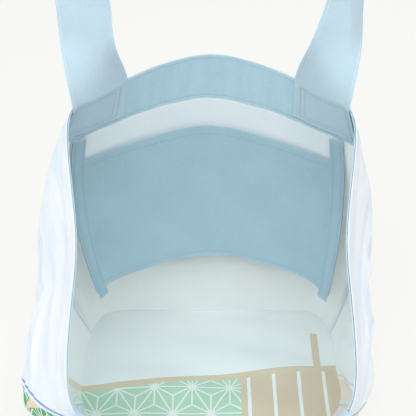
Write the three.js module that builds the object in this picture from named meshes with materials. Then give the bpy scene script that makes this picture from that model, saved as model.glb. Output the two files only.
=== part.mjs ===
// Cloth tote bag standing with its mouth open: four wall panels on a base panel, an inner facing
// along the rim, two wide strap handles and a hanging inner pocket.
// Millimetres, +Z up, +Y towards the back. The origin is the centre of the base, on the floor.
import * as THREE from "three";

// Cloth
const CLOTH = 1.0; // wall, facing and pocket cloth, with its hems
const STRAP_CLOTH = 0.9; // folded strap
const SEAM_GAP = 0.3; // between neighbouring panels
const LAYER_GAP = 0.9; // between layers of cloth that lie on each other
const BASE_SEAM = 0.9; // inner face of a leaning wall above the base panel

// Base
const BASE_WIDTH = 340;
const BASE_DEPTH = 220;

// Rim: the back stands tall, and the front has slumped forward and down
const MOUTH_WIDTH = 330; // between the back corners
const BACK_HEIGHT = 400;
const CORNER_DROOP = 22; // back corners below the middle of the back rim
const FRONT_HEIGHT = 200;
const FRONT_CORNER_LIFT = 8; // front corners above the middle of the front rim
const BACK_REACH = 150; // middle of the back rim behind the origin
const BACK_SPREAD = 0.96; // slope of the back rim, in plan, far from its middle
const BACK_ROUND = 80; // size of the round middle of the back rim
const FRONT_REACH = 290; // front rim in front of the origin
const FRONT_BOW = 30; // middle of the front rim ahead of its corners
const FRONT_EASE = 4; // front rim behind its middle, beside the straps
const SIDE_PINCH = 14; // side rims inside the back corners, each side
const FRONT_PINCH = 24; // front corners inside the back corners, each side
const BELLY = 40; // swell of the sides between base and rim, each side
const FRONT_BELLY = 10; // swell of the front
const BACK_BELLY = 12; // swell of the back between base and rim
const LEAN = 8; // how far the slack walls sag to the left, half way up
const FRONT_LEAN = 10; // more of the same towards the front, from LEAN_FROM behind the origin
const LEAN_FROM = 60;
const LEAN_TO = 200; // and in full this far in front of it

// Facing, hems and seam strips inside the rim
const FACING_HEIGHT = 62;
const SIDE_HEM_HEIGHT = 22;
const SEAM_STRIP_WIDTH = 10;

// Handles
const STRAP_WIDTH = 62;
const STRAP_SEWN = 54; // length of strap sewn down inside the rim
const STRAP_RISE = 30; // stiff sewn end above the back rim
const FRONT_STRAP_RISE = 20; // and above the front rim
const LEG_LENGTH = 140; // height of a leg, from hinge to arch
const LEG_SPREAD = 24; // how far a leg leans out over its height
const ARCH_RISE = 80;
const TWIST_HEIGHT = 84; // height on the leg where the strap starts to turn
const FOLD_OFFSET = 0.6; // hinge line of the front handle from its strap end
const HINGE_GAP = 0.7; // strap end and loop, each from the hinge line

// Pocket that hangs from the back facing
const POCKET_INSET = 13; // pocket inside the mouth's corners, each side
const POCKET_DROP = 37; // lower edge of the facing to the mouth of the pocket
const POCKET_DEPTH = 190; // mouth of the pocket to its lower edge
const POCKET_TAPER = 0.05; // share of its width lost at the lower edge
const POCKET_HANG = 30; // how far the lower edge hangs off the back wall
const POCKET_CORNER_HANG = 36; // how much further forward its lower corners hang
const POCKET_GAPE = 10; // how far the mouth stands open
const BINDING_WIDTH = 20;
const BINDING_TAIL = 7; // bindings reach below the pocket

const STATIONS = 14;

// Stations of the right half, from the middle of the back to the middle of the front. Base: shares
// of its half width and half depth. Swell: shares of BELLY, BACK_BELLY and FRONT_BELLY.
const BASE_SHARES = [[0, 1], [0.5, 1], [0.88, 0.95], [1, 0.6], [1.01, 0], [1, -0.62], [0.8, -0.98], [0, -1]];
const SWELL_SHARES = [
  [0, 1, 0], [0, 1, 0], [0.4, 1, 0], [0.9, 0.5, 0], [1, 0, 0], [0.95, 0, 0], [0.3, 0, 1], [0, 0, 1],
];
const RIM_QUARTER = 0.44; // station between the middle of the back and a strap, as a share of half the mouth
const SIDE_PLACE = 0.32; // middle of a side rim, as a share of the front's reach
const SIDE_LIFT = 0.55; // its height, as a share of the way from the front rim up to the back corner
const FRONT_QUARTER = 0.8; // station of the front rim, as a share of the strap's place

// Plan of the back rim: a hyperbola, round in the middle and straight towards its corners.
const backRimY = (x) => BACK_REACH - BACK_SPREAD * (Math.hypot(x, BACK_ROUND) - BACK_ROUND);
const backRimZ = (x) => BACK_HEIGHT - CORNER_DROOP * (x / (MOUTH_WIDTH / 2)) ** 2;

// A closed curve through stations of the right half, from the middle of the back to the middle
// of the front, and their mirror images, moved to the left by a lean that depends on y.
function closedCurve(half, lean = () => 0) {
  const left = half.slice(1, -1).reverse().map(([x, y, z]) => [-x, y, z]);
  const points = [...half, ...left].map(([x, y, z]) => new THREE.Vector3(x - lean(y), y, z));
  return new THREE.CatmullRomCurve3(points, true, "centripetal");
}

const floorZ = CLOTH + BASE_SEAM;
const halfBase = BASE_WIDTH / 2;
const baseBack = BASE_DEPTH / 2;
const baseHalf = BASE_SHARES.map(([x, y]) => [x * halfBase, y * baseBack, floorZ]);

const halfMouth = MOUTH_WIDTH / 2;
const quarterX = halfMouth * RIM_QUARTER;
const frontCornerX = halfMouth - FRONT_PINCH;
const frontCornerY = -FRONT_REACH + FRONT_BOW;
const cornerZ = backRimZ(halfMouth);
const sideZ = FRONT_HEIGHT + SIDE_LIFT * (cornerZ - FRONT_HEIGHT);

// Middle of a handle's right leg: the straps reach the corners of the mouth.
const legX = {
  back: halfMouth - STRAP_WIDTH / 2,
  front: frontCornerX - STRAP_WIDTH / 2 - CLOTH - LAYER_GAP,
};
const rimHalf = [
  [0, backRimY(0), backRimZ(0)],
  [quarterX, backRimY(quarterX), backRimZ(quarterX)],
  [legX.back, backRimY(legX.back), backRimZ(legX.back)],
  [halfMouth, backRimY(halfMouth), cornerZ],
  [halfMouth - SIDE_PINCH, -FRONT_REACH * SIDE_PLACE, sideZ],
  [frontCornerX, frontCornerY, FRONT_HEIGHT + FRONT_CORNER_LIFT],
  [legX.front * FRONT_QUARTER, -FRONT_REACH + FRONT_EASE, FRONT_HEIGHT + FRONT_EASE / 2],
  [0, -FRONT_REACH, FRONT_HEIGHT],
];

// Half way up, the walls lie between base and rim, with a swell.
const bellySwell = SWELL_SHARES.map(([side, back, front]) => [
  side * BELLY,
  back * BACK_BELLY - front * FRONT_BELLY,
]);
const bellyHalf = rimHalf.map(([x, y, z], i) => [
  (x + baseHalf[i][0]) / 2 + bellySwell[i][0],
  (y + baseHalf[i][1]) / 2 + bellySwell[i][1],
  (z + floorZ) / 2,
]);

const baseCurve = closedCurve(baseHalf);
const leanAt = (y) => LEAN + FRONT_LEAN * THREE.MathUtils.smoothstep(-y, -LEAN_FROM, LEAN_TO);
const bellyCurve = closedCurve(bellyHalf, leanAt);
const rimCurve = closedCurve(rimHalf);

// The bag's inner surface: u goes round from the middle of the back by the right side, and v goes
// from base to rim, on a parabola through the three curves.
function wall(u, v) {
  const round = u - Math.floor(u);
  return baseCurve.getPoint(round).multiplyScalar((1 - v) * (1 - 2 * v))
    .addScaledVector(bellyCurve.getPoint(round), 4 * v * (1 - v))
    .addScaledVector(rimCurve.getPoint(round), v * (2 * v - 1));
}

const STEP = 1e-3;

// Unit normal of a surface point(s, t), along d/dt x d/ds, by differences.
function normalOf(point, s, t) {
  const alongS = point(s + STEP, t).sub(point(s - STEP, t));
  const alongT = point(s, t + STEP).sub(point(s, t - STEP));
  return alongT.cross(alongS).normalize();
}

// A closed sheet of cloth over s and t from 0 to 1, between two distances along its normal.
function sheet(point, columns, rows, inner, outer) {
  const positions = [];
  const index = [];
  const at = (side, i, j) => (side * (rows + 1) + j) * (columns + 1) + i;
  for (const distance of [inner, outer]) {
    for (let j = 0; j <= rows; j++) {
      for (let i = 0; i <= columns; i++) {
        const s = i / columns;
        const t = j / rows;
        const p = point(s, t).addScaledVector(normalOf(point, s, t), distance);
        positions.push(p.x, p.y, p.z);
      }
    }
  }
  const quad = (a, b, c, d) => index.push(a, b, c, a, c, d);
  for (let j = 0; j < rows; j++) {
    for (let i = 0; i < columns; i++) {
      quad(at(0, i, j), at(0, i + 1, j), at(0, i + 1, j + 1), at(0, i, j + 1));
      quad(at(1, i, j), at(1, i, j + 1), at(1, i + 1, j + 1), at(1, i + 1, j));
    }
  }
  for (let i = 0; i < columns; i++) {
    quad(at(0, i, 0), at(1, i, 0), at(1, i + 1, 0), at(0, i + 1, 0));
    quad(at(0, i, rows), at(0, i + 1, rows), at(1, i + 1, rows), at(1, i, rows));
  }
  for (let j = 0; j < rows; j++) {
    quad(at(0, 0, j), at(0, 0, j + 1), at(1, 0, j + 1), at(1, 0, j));
    quad(at(0, columns, j), at(1, columns, j), at(1, columns, j + 1), at(0, columns, j + 1));
  }
  const geometry = new THREE.BufferGeometry();
  geometry.setAttribute("position", new THREE.Float32BufferAttribute(positions, 3));
  geometry.setIndex(index);
  geometry.computeVertexNormals();
  return geometry;
}

// Lengths on the wall, in millimetres, as steps of u and v.
const mix = THREE.MathUtils.lerp;
const speedU = (u, v) => wall(u + STEP, v).distanceTo(wall(u - STEP, v)) / (2 * STEP);
const wallLength = (u) => {
  const steps = 16;
  let length = 0;
  for (let i = 0; i < steps; i++) length += wall(u, i / steps).distanceTo(wall(u, (i + 1) / steps));
  return length;
};
const vBelow = (u, depth) => 1 - depth / wallLength(u);
const seamU = (u) => SEAM_GAP / Math.min(speedU(u, 0), speedU(u, 0.5), speedU(u, 1)) / 2;

// Layers of cloth, counted from the wall inwards: the wall is layer 0.
const layerInner = (layer) => -layer * (CLOTH + LAYER_GAP);
const layerOuter = (layer) => layerInner(layer) + CLOTH;

// A stretch of wall from u0 to u1, between two depths below the rim, where null is the base.
function wallStretch(u0, u1, topDepth, lowDepth) {
  return (s, t) => {
    const u = mix(u0, u1, s);
    const low = lowDepth === null ? 0 : vBelow(u, lowDepth);
    return wall(u, mix(low, vBelow(u, topDepth), t));
  };
}

// Finishes
const finish = (colour) => new THREE.MeshStandardMaterial({ color: colour, roughness: 0.9, metalness: 0 });
const PRINTED = finish(0xeef4fb);
const BLUE = finish(0x9dbdcb);
const STRAP_BLUE = finish(0xc6dfec);
const PALE = finish(0xd2dfe2);

const bag = new THREE.Group();
function add(parent, name, geometry, material) {
  const mesh = new THREE.Mesh(geometry, material);
  mesh.name = name;
  parent.add(mesh);
  return mesh;
}

// Seams run from base to rim at the four corners.
const CORNER = { right_back: 3, right_front: 5, left_front: 9, left_back: 11 };
const cornerU = Object.fromEntries(Object.entries(CORNER).map(([name, i]) => [name, i / STATIONS]));

const PANEL_ROWS = 12;
function addPanel(name, uFrom, uTo, columns) {
  const point = wallStretch(uFrom + seamU(uFrom), uTo - seamU(uTo), 0, null);
  add(bag, name, sheet(point, columns, PANEL_ROWS, layerInner(0), layerOuter(0)), PRINTED);
}
addPanel("back_panel", cornerU.left_back - 1, cornerU.right_back, 40);
addPanel("right_gusset", cornerU.right_back, cornerU.right_front, 20);
addPanel("front_panel", cornerU.right_front, cornerU.left_front, 32);
addPanel("left_gusset", cornerU.left_front, cornerU.left_back, 20);

// The base panel is the base curve, moved out so that the walls stand on it.
function baseGeometry() {
  const sides = 56;
  const outline = [];
  for (let i = 0; i < sides; i++) {
    const u = i / sides;
    const p = wall(u, 0).addScaledVector(normalOf(wall, u, 0).setZ(0).normalize(), CLOTH);
    outline.push(new THREE.Vector2(p.x, p.y));
  }
  const shape = new THREE.Shape(outline);
  return new THREE.ExtrudeGeometry(shape, { depth: CLOTH, bevelEnabled: false });
}
add(bag, "base_panel", baseGeometry(), PRINTED);

// Facings, side hems and seam strips lie on the inside of the wall.
const stripU = (u) => SEAM_STRIP_WIDTH / 2 / speedU(u, 1) + seamU(u);
function addInside(name, uFrom, uTo, height, columns, material) {
  const point = wallStretch(uFrom + seamU(uFrom), uTo - seamU(uTo), 0, height);
  add(bag, name, sheet(point, columns, 3, layerInner(1), layerOuter(1)), material);
}
addInside("back_facing", cornerU.left_back - 1, cornerU.right_back, FACING_HEIGHT, 40, BLUE);
addInside("right_side_hem", cornerU.right_back, cornerU.right_front, SIDE_HEM_HEIGHT, 20, BLUE);
addInside("front_facing", cornerU.right_front, cornerU.left_front, FACING_HEIGHT, 32, BLUE);
addInside("left_side_hem", cornerU.left_front, cornerU.left_back, SIDE_HEM_HEIGHT, 20, BLUE);

for (const [name, u] of Object.entries(cornerU)) {
  const half = stripU(u);
  const point = wallStretch(u - half, u + half, FACING_HEIGHT + SEAM_GAP, null);
  add(bag, name + "_seam", sheet(point, 2, PANEL_ROWS, layerInner(1), layerOuter(1)), PALE);
}

// Handles: each strap end is sewn to the inside of a facing and stands above the rim,
// where its upper edge lies along X. The loop is hinged on that edge.
const hinge = {
  back: { y: backRimY(legX.back) - 2 * (CLOTH + LAYER_GAP), z: backRimZ(legX.back) + STRAP_RISE },
  front: {
    y: wall(rimUAt(legX.front - STRAP_WIDTH / 2, 5, 7), 1).y - CLOTH - LAYER_GAP,
    z: FRONT_HEIGHT + FRONT_CORNER_LIFT + FRONT_STRAP_RISE,
  },
};

// The u, between two stations, where the rim passes a given x.
function rimUAt(x, stationFrom, stationTo) {
  let low = stationFrom / STATIONS;
  let high = stationTo / STATIONS;
  const rising = wall(high, 1).x > wall(low, 1).x;
  for (let i = 0; i < 40; i++) {
    const middle = (low + high) / 2;
    if ((wall(middle, 1).x < x) === rising) low = middle;
    else high = middle;
  }
  return (low + high) / 2;
}

// A strap end: up the facing from its sewn edge to the rim, on upright, and over in a bend to the
// straight hinge edge.
function strapEnd(side, uOuter, uInner, xOuter, xInner) {
  const sewnShare = STRAP_SEWN / (STRAP_SEWN + STRAP_RISE);
  const layer = (layerInner(2) + layerOuter(2)) / 2;
  return (s, t) => {
    const u = mix(uOuter, uInner, s);
    if (t <= sewnShare) {
      const v = vBelow(u, STRAP_SEWN * (1 - t / sewnShare));
      return wall(u, v).addScaledVector(normalOf(wall, u, v), layer);
    }
    const rim = wall(u, 1).addScaledVector(normalOf(wall, u, 1), layer);
    const edge = new THREE.Vector3(mix(xOuter, xInner, s), hinge[side].y, hinge[side].z - HINGE_GAP);
    const share = (t - sewnShare) / (1 - sewnShare);
    const height = mix(rim.z, edge.z, share);
    return rim.lerp(edge, share * share).setZ(height);
  };
}
const halfStrap = STRAP_CLOTH / 2;
for (const side of ["back", "front"]) {
  const xFar = legX[side] + STRAP_WIDTH / 2;
  const xNear = legX[side] - STRAP_WIDTH / 2;
  const stations = side === "back" ? [0, 3] : [5, 7];
  const far = rimUAt(side === "back" ? xFar - SEAM_GAP : xFar, ...stations);
  const near = rimUAt(xNear, ...stations);
  const right = side === "back" ? [near, far, xNear, xFar] : [far, near, xFar, xNear];
  const left = side === "back" ? [-far, -near, -xFar, -xNear] : [1 - near, 1 - far, -xNear, -xFar];
  for (const [hand, ends] of Object.entries({ right, left })) {
    const end = sheet(strapEnd(side, ...ends), 4, 14, -halfStrap, halfStrap);
    add(bag, side + "_" + hand + "_strap_end", end, STRAP_BLUE);
  }
}

// The loop's middle line in its own frame: up the right leg, which leans out, over a half ellipse,
// and down the left leg.
function loopLine(rootX, t) {
  const archX = rootX + LEG_SPREAD;
  const arch = Math.PI * Math.sqrt((archX * archX + ARCH_RISE * ARCH_RISE) / 2);
  const along = t * (2 * LEG_LENGTH + arch);
  const leg = (height) => rootX + LEG_SPREAD * THREE.MathUtils.smoothstep(height, 0, LEG_LENGTH);
  if (along <= LEG_LENGTH) return new THREE.Vector3(leg(along), 0, along);
  const left = 2 * LEG_LENGTH + arch - along;
  if (left <= LEG_LENGTH) return new THREE.Vector3(-leg(left), 0, left);
  const angle = (Math.PI * (along - LEG_LENGTH)) / arch;
  return new THREE.Vector3(archX * Math.cos(angle), 0, LEG_LENGTH + ARCH_RISE * Math.sin(angle));
}

// The strap is flat across the legs and turns edge on, to lie flat in the hand, at the top.
function loopPoint(rootX) {
  return (s, t) => {
    const line = loopLine(rootX, THREE.MathUtils.clamp(t, 0, 1));
    const ahead = loopLine(rootX, Math.min(t + STEP, 1));
    const along = ahead.sub(loopLine(rootX, Math.max(t - STEP, 0))).normalize();
    const across = new THREE.Vector3(along.z, 0, -along.x);
    const turn = THREE.MathUtils.smoothstep(line.z, TWIST_HEIGHT, LEG_LENGTH + ARCH_RISE) * Math.PI / 2;
    const width = across.multiplyScalar(Math.cos(turn)).setY(Math.sin(turn));
    const beyond = t < 0 ? t : Math.max(t - 1, 0);
    line.addScaledVector(width, (s - 0.5) * STRAP_WIDTH);
    return line.addScaledVector(along, beyond * LEG_LENGTH);
  };
}
const loop = (side) => sheet(loopPoint(legX[side]), 4, 36, -halfStrap, halfStrap);

const backHandle = new THREE.Group();
backHandle.position.set(0, hinge.back.y, hinge.back.z + HINGE_GAP);
add(backHandle, "back_handle", loop("back"), STRAP_BLUE);
bag.add(backHandle);

// The front handle has fallen over and hangs outside, folded about its hinge line.
const frontHandle = new THREE.Group();
frontHandle.position.set(0, hinge.front.y - 2 * FOLD_OFFSET, hinge.front.z - HINGE_GAP);
frontHandle.rotation.x = Math.PI;
add(frontHandle, "front_handle", loop("front"), STRAP_BLUE);
bag.add(frontHandle);

// Pocket: a pale backing hung below the facing, a blue front that stops short of the facing, and
// a binding down each side that covers both. It hangs further off the wall towards its lower edge.
const pocketLength = POCKET_DROP + POCKET_DEPTH;
const pocketTop = FACING_HEIGHT + SEAM_GAP;
const pocketWidth = MOUTH_WIDTH - 2 * POCKET_INSET;
const pocketU = rimUAt(pocketWidth / 2, 0, 3);

// s runs across the pocket and depth down from the facing, with the distance off the backing.
function pocketPoint(s, depth, off) {
  const share = depth / pocketLength;
  const u = mix(-pocketU, pocketU, s) * (1 - POCKET_TAPER * share);
  const v = vBelow(u, pocketTop + depth);
  const hang = layerInner(1) + CLOTH / 2 - POCKET_HANG * share * share;
  const forward = POCKET_CORNER_HANG * share * share * (2 * s - 1) ** 2;
  const point = wall(u, v).addScaledVector(normalOf(wall, u, v), hang - off);
  return point.setY(point.y - forward);
}
const pocketLayer = CLOTH + LAYER_GAP;
const half = CLOTH / 2;
const backing = (s, t) => pocketPoint(s, pocketLength * (1 - t), 0);
add(bag, "pocket_backing", sheet(backing, 30, 10, -half, half), PALE);

// The mouth of the pocket gapes in its middle.
function pocketFront(s, t) {
  const gape = POCKET_GAPE * Math.sin(Math.PI * THREE.MathUtils.clamp(s, 0, 1)) * t * t;
  return pocketPoint(s, mix(pocketLength, POCKET_DROP, t), pocketLayer + gape);
}
add(bag, "pocket_front", sheet(pocketFront, 30, 10, -half, half), BLUE);

const bindingShare = BINDING_WIDTH / pocketWidth;
function binding(sOuter, sInner) {
  return (s, t) => {
    const across = mix(sOuter, sInner, s);
    const depth = (pocketLength + BINDING_TAIL) * (1 - t);
    const open = THREE.MathUtils.clamp((pocketLength - depth) / POCKET_DEPTH, 0, 1);
    const gape = POCKET_GAPE * Math.sin(Math.PI * Math.abs(across)) * open * open;
    return pocketPoint(across, depth, 2 * pocketLayer + gape);
  };
}
add(bag, "pocket_left_binding", sheet(binding(0, bindingShare), 4, 14, -half, half), BLUE);
add(bag, "pocket_right_binding", sheet(binding(1 - bindingShare, 1), 4, 14, -half, half), BLUE);

export default bag;
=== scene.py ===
"""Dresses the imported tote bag: soft lofted walls with a print, facings, straps, a hanging pocket
and their stitching, on a pale floor. Metres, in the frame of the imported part."""
from collections import namedtuple

import bpy
import numpy as np
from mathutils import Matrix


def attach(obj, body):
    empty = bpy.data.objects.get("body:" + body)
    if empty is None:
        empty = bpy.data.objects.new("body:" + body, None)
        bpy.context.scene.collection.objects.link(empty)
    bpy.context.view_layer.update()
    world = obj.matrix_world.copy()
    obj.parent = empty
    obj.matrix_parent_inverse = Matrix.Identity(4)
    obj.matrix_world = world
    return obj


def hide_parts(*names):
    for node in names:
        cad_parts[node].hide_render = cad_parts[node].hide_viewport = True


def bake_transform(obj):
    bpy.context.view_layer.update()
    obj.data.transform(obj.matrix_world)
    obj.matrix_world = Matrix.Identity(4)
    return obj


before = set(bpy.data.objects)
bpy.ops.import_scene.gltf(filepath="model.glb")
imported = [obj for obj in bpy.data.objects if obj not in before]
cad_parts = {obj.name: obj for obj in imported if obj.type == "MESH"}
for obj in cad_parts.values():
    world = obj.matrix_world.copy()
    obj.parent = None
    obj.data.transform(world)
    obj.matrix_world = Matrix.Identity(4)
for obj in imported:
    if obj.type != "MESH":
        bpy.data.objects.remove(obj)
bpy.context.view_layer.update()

# Sizes in metres, as in the part's source, but for the pocket's gape and sway.
CLOTH = 0.0010
SEAM_GAP = 0.0003
LAYER_GAP = 0.0009
FLOOR_Z = 0.0019
BASE_HALF = np.array([0.170, 0.110])
BASE_SHARES = np.array([[0, 1], [0.5, 1], [0.88, 0.95], [1, 0.6], [1.01, 0], [1, -0.62], [0.8, -0.98],
                        [0, -1]])
SWELL_SHARES = np.array([[0, 1, 0], [0, 1, 0], [0.4, 1, 0], [0.9, 0.5, 0], [1, 0, 0], [0.95, 0, 0],
                         [0.3, 0, 1], [0, 0, 1]])
SIDE_BELLY, BACK_BELLY, FRONT_BELLY = 0.040, 0.012, 0.010
LEAN, FRONT_LEAN, LEAN_FROM, LEAN_TO = 0.008, 0.010, 0.060, 0.200
HALF_MOUTH = 0.165
BACK_HEIGHT, FRONT_HEIGHT, FRONT_CORNER_LIFT = 0.400, 0.200, 0.008
CORNER_DROOP = 0.022
BACK_REACH, FRONT_REACH = 0.150, 0.290
BACK_SPREAD, BACK_ROUND = 0.96, 0.080
FRONT_BOW, FRONT_EASE = 0.030, 0.004
SIDE_PINCH, FRONT_PINCH = 0.014, 0.024
RIM_QUARTER, FRONT_QUARTER = 0.44, 0.8
SIDE_PLACE, SIDE_LIFT = 0.32, 0.55
FACING_HEIGHT, SIDE_HEM_HEIGHT, SEAM_STRIP_WIDTH = 0.062, 0.022, 0.010
STRAP_WIDTH, STRAP_SEWN, STRAP_RISE, FRONT_STRAP_RISE = 0.062, 0.054, 0.030, 0.020
LEG_LENGTH, LEG_SPREAD, ARCH_RISE, TWIST_HEIGHT = 0.140, 0.024, 0.080, 0.084
FOLD_OFFSET, HINGE_GAP = 0.0006, 0.0007
POCKET_INSET, POCKET_DROP, POCKET_DEPTH, POCKET_TAPER = 0.013, 0.037, 0.190, 0.05
POCKET_HANG, POCKET_CORNER_HANG, POCKET_GAPE, POCKET_SWAY = 0.030, 0.036, 0.006, 0.009
BINDING_WIDTH, BINDING_TAIL = 0.020, 0.007
LAYER = CLOTH + LAYER_GAP
STATIONS = 14
CORNER_STATIONS = {"right_back": 3, "right_front": 5, "left_front": 9, "left_back": 11}
CORNERS = {name: station / STATIONS for name, station in CORNER_STATIONS.items()}


def smooth(x, low, high):
    """0 below low, 1 above high, and the cubic 3w^2 - 2w^3 between."""
    w = np.clip((x - low) / (high - low), 0, 1)
    return w * w * (3 - 2 * w)


def mix(a, b, w):
    """The point w of the way from a to b."""
    return a + (b - a) * w


def back_rim_y(x):
    """Plan of the back rim: a hyperbola, round in the middle and straight towards its corners."""
    return BACK_REACH - BACK_SPREAD * (np.hypot(x, BACK_ROUND) - BACK_ROUND)


def back_rim_z(x):
    """Height of the back rim: a parabola that droops to its corners."""
    return BACK_HEIGHT - CORNER_DROOP * (x / HALF_MOUTH) ** 2


def ring(half):
    """The eight stations of the right half and, in reverse, the mirror images of the inner six."""
    return np.vstack([half, (half[1:-1] * [-1, 1, 1])[::-1]])


LEG_X = {"back": HALF_MOUTH - STRAP_WIDTH / 2}
LEG_X["front"] = HALF_MOUTH - FRONT_PINCH - STRAP_WIDTH / 2 - LAYER


def wall_stations():
    """Stations of base, belly and rim: the belly is half way between the others, plus a swell, and
    sags to the left, more towards the front."""
    base = np.column_stack([BASE_SHARES * BASE_HALF, np.full(8, FLOOR_Z)])
    corner_z = back_rim_z(HALF_MOUTH)
    quarter = HALF_MOUTH * RIM_QUARTER
    back_x = np.array([0, quarter, LEG_X["back"], HALF_MOUTH])
    rim_back = np.column_stack([back_x, back_rim_y(back_x), back_rim_z(back_x)])
    rim_front = np.array([
        [HALF_MOUTH - SIDE_PINCH, -FRONT_REACH * SIDE_PLACE, mix(FRONT_HEIGHT, corner_z, SIDE_LIFT)],
        [HALF_MOUTH - FRONT_PINCH, -FRONT_REACH + FRONT_BOW, FRONT_HEIGHT + FRONT_CORNER_LIFT],
        [LEG_X["front"] * FRONT_QUARTER, -FRONT_REACH + FRONT_EASE, FRONT_HEIGHT + FRONT_EASE / 2],
        [0, -FRONT_REACH, FRONT_HEIGHT],
    ])
    rim = np.vstack([rim_back, rim_front])
    belly = (base + rim) / 2
    belly[:, 0] += SWELL_SHARES[:, 0] * SIDE_BELLY
    belly[:, 1] += SWELL_SHARES[:, 1] * BACK_BELLY - SWELL_SHARES[:, 2] * FRONT_BELLY
    belly = ring(belly)
    belly[:, 0] -= LEAN + FRONT_LEAN * smooth(-belly[:, 1], -LEAN_FROM, LEAN_TO)
    return ring(base), belly, ring(rim)


BASE_RING, BELLY_RING, RIM_RING = wall_stations()


def along_ring(points, u):
    """Closed centripetal Catmull-Rom curve: knots are spaced by the square root of the chord."""
    count = len(points)
    place = np.mod(u, 1) * count
    i = np.floor(place).astype(int) % count
    w = (place - np.floor(place))[..., None]
    a, b, c, d = (points[(i + k) % count] for k in (-1, 0, 1, 2))
    step = [np.sqrt(np.linalg.norm(q - p, axis=-1))[..., None] for p, q in ((a, b), (b, c), (c, d))]
    start = (b - a) / step[0] - (c - a) / (step[0] + step[1]) + (c - b) / step[1]
    end = (c - b) / step[1] - (d - b) / (step[1] + step[2]) + (d - c) / step[2]
    start, end = start * step[1], end * step[1]
    square, cube = -3 * b + 3 * c - 2 * start - end, 2 * b - 2 * c + start + end
    return b + w * start + w ** 2 * square + w ** 3 * cube


def loft(u, v):
    """Plain wall: a parabola in v through base (0), belly (half) and rim (1) at the same u."""
    u, v = np.broadcast_arrays(np.asarray(u, float), np.asarray(v, float))
    v = v[..., None]
    low = along_ring(BASE_RING, u) * (1 - v) * (1 - 2 * v)
    return low + along_ring(BELLY_RING, u) * 4 * v * (1 - v) + along_ring(RIM_RING, u) * v * (2 * v - 1)


# Folds that run over the slack walls, with rough lengths round the bag and up a wall.
ROUND_LENGTH, RISE_LENGTH = 1.20, 0.36
FOLD_CURVE = 1.2
RIPPLE = 0.0011
FOOT_FADE = 0.16
RIM_HOLD, HOLD_FROM, HOLD_TO = 0.75, 0.76, 0.97
# Each fold: place round the bag in stations, share of the height, tilt in degrees, half length,
# half width and height in metres. A height below zero is a hollow.
FOLDS = np.array([
    [10.6, 0.62, 8, 0.110, 0.016, 0.0012], [10.2, 0.45, -14, 0.120, 0.018, 0.0030],
    [9.8, 0.58, 10, 0.110, 0.012, -0.0030], [9.5, 0.35, -22, 0.080, 0.013, 0.0040],
    [9.3, 0.62, 6, 0.100, 0.014, -0.0040], [10.9, 0.38, 20, 0.080, 0.016, -0.0040],
    [3.4, 0.55, -10, 0.100, 0.014, 0.0055], [3.8, 0.42, 16, 0.090, 0.013, -0.0060],
    [4.2, 0.58, -18, 0.090, 0.013, 0.0070], [4.5, 0.40, 24, 0.070, 0.012, -0.0060],
    [4.7, 0.66, -6, 0.090, 0.014, 0.0050], [5.3, 0.45, 18, 0.110, 0.018, 0.0060],
    [6.0, 0.55, -24, 0.090, 0.018, -0.0055], [6.6, 0.40, 12, 0.100, 0.020, 0.0060],
    [7.3, 0.58, -10, 0.110, 0.020, -0.0060], [7.9, 0.42, 22, 0.090, 0.018, 0.0060],
    [8.6, 0.55, -16, 0.100, 0.018, 0.0055], [0.6, 0.16, 78, 0.120, 0.012, 0.0022],
    [13.2, 0.20, 100, 0.130, 0.012, -0.0024], [1.6, 0.30, 60, 0.090, 0.012, 0.0022],
    [12.4, 0.34, 118, 0.090, 0.012, 0.0024], [2.5, 0.45, 20, 0.100, 0.014, 0.0030],
    [11.6, 0.45, -20, 0.100, 0.014, 0.0030], [10.5, 0.52, 4, 0.120, 0.006, 0.0024],
    [10.0, 0.60, -5, 0.110, 0.006, -0.0024], [9.6, 0.48, 14, 0.100, 0.006, 0.0026],
    [9.9, 0.30, 26, 0.070, 0.007, -0.0030], [4.0, 0.55, 66, 0.030, 0.007, 0.0040],
    [4.1, 0.50, 52, 0.034, 0.006, -0.0040], [4.3, 0.60, 75, 0.026, 0.006, -0.0034],
    [4.5, 0.24, 34, 0.080, 0.034, -0.0160], [9.4, 0.26, 10, 0.110, 0.050, 0.0080],
    [4.2, 0.82, 70, 0.030, 0.007, 0.0060], [4.3, 0.76, 58, 0.034, 0.006, -0.0060],
    [4.1, 0.74, 76, 0.030, 0.006, 0.0050], [9.72, 0.72, 24, 0.050, 0.007, -0.0034],
    [9.66, 0.75, 42, 0.048, 0.007, 0.0034], [9.60, 0.77, 60, 0.044, 0.007, -0.0034],
    [9.78, 0.66, 12, 0.055, 0.008, 0.0034], [9.45, 0.62, 50, 0.040, 0.007, 0.0030],
])


def normal_of(surface, u, v):
    """Unit normal of surface(u, v), along d/dv x d/du, from differences."""
    step = 1e-3
    rise = surface(u, v + step) - surface(u, v - step)
    turn = surface(u + step, v) - surface(u - step, v)
    normal = np.cross(rise, turn)
    return normal / np.linalg.norm(normal, axis=-1, keepdims=True)


def fold_height(u, v):
    """Sum of the folds, each a curved ridge exp(-(across/width)^2 - (along/length)^4) in lengths on
    the cloth, and of a fine ripple, faded out at the base and held down at the sewn rim."""
    total = np.zeros(np.broadcast(u, v).shape)
    for station, share, tilt, length, width, height in FOLDS:
        turn = np.mod(u - station / STATIONS + 0.5, 1) - 0.5
        a, b = turn * ROUND_LENGTH, (v - share) * RISE_LENGTH
        angle = np.radians(tilt)
        along = a * np.sin(angle) + b * np.cos(angle)
        across = a * np.cos(angle) - b * np.sin(angle) + FOLD_CURVE * along ** 2
        total = total + height * np.exp(-(across / width) ** 2 - (along / length) ** 4)
    ripple = RIPPLE * np.sin(19 * 2 * np.pi * u + 6 * v) * np.sin(7 * v + 31 * u)
    held = 1 - RIM_HOLD * smooth(v, HOLD_FROM, HOLD_TO)
    return (total + ripple) * smooth(v, 0.0, FOOT_FADE) * held


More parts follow.
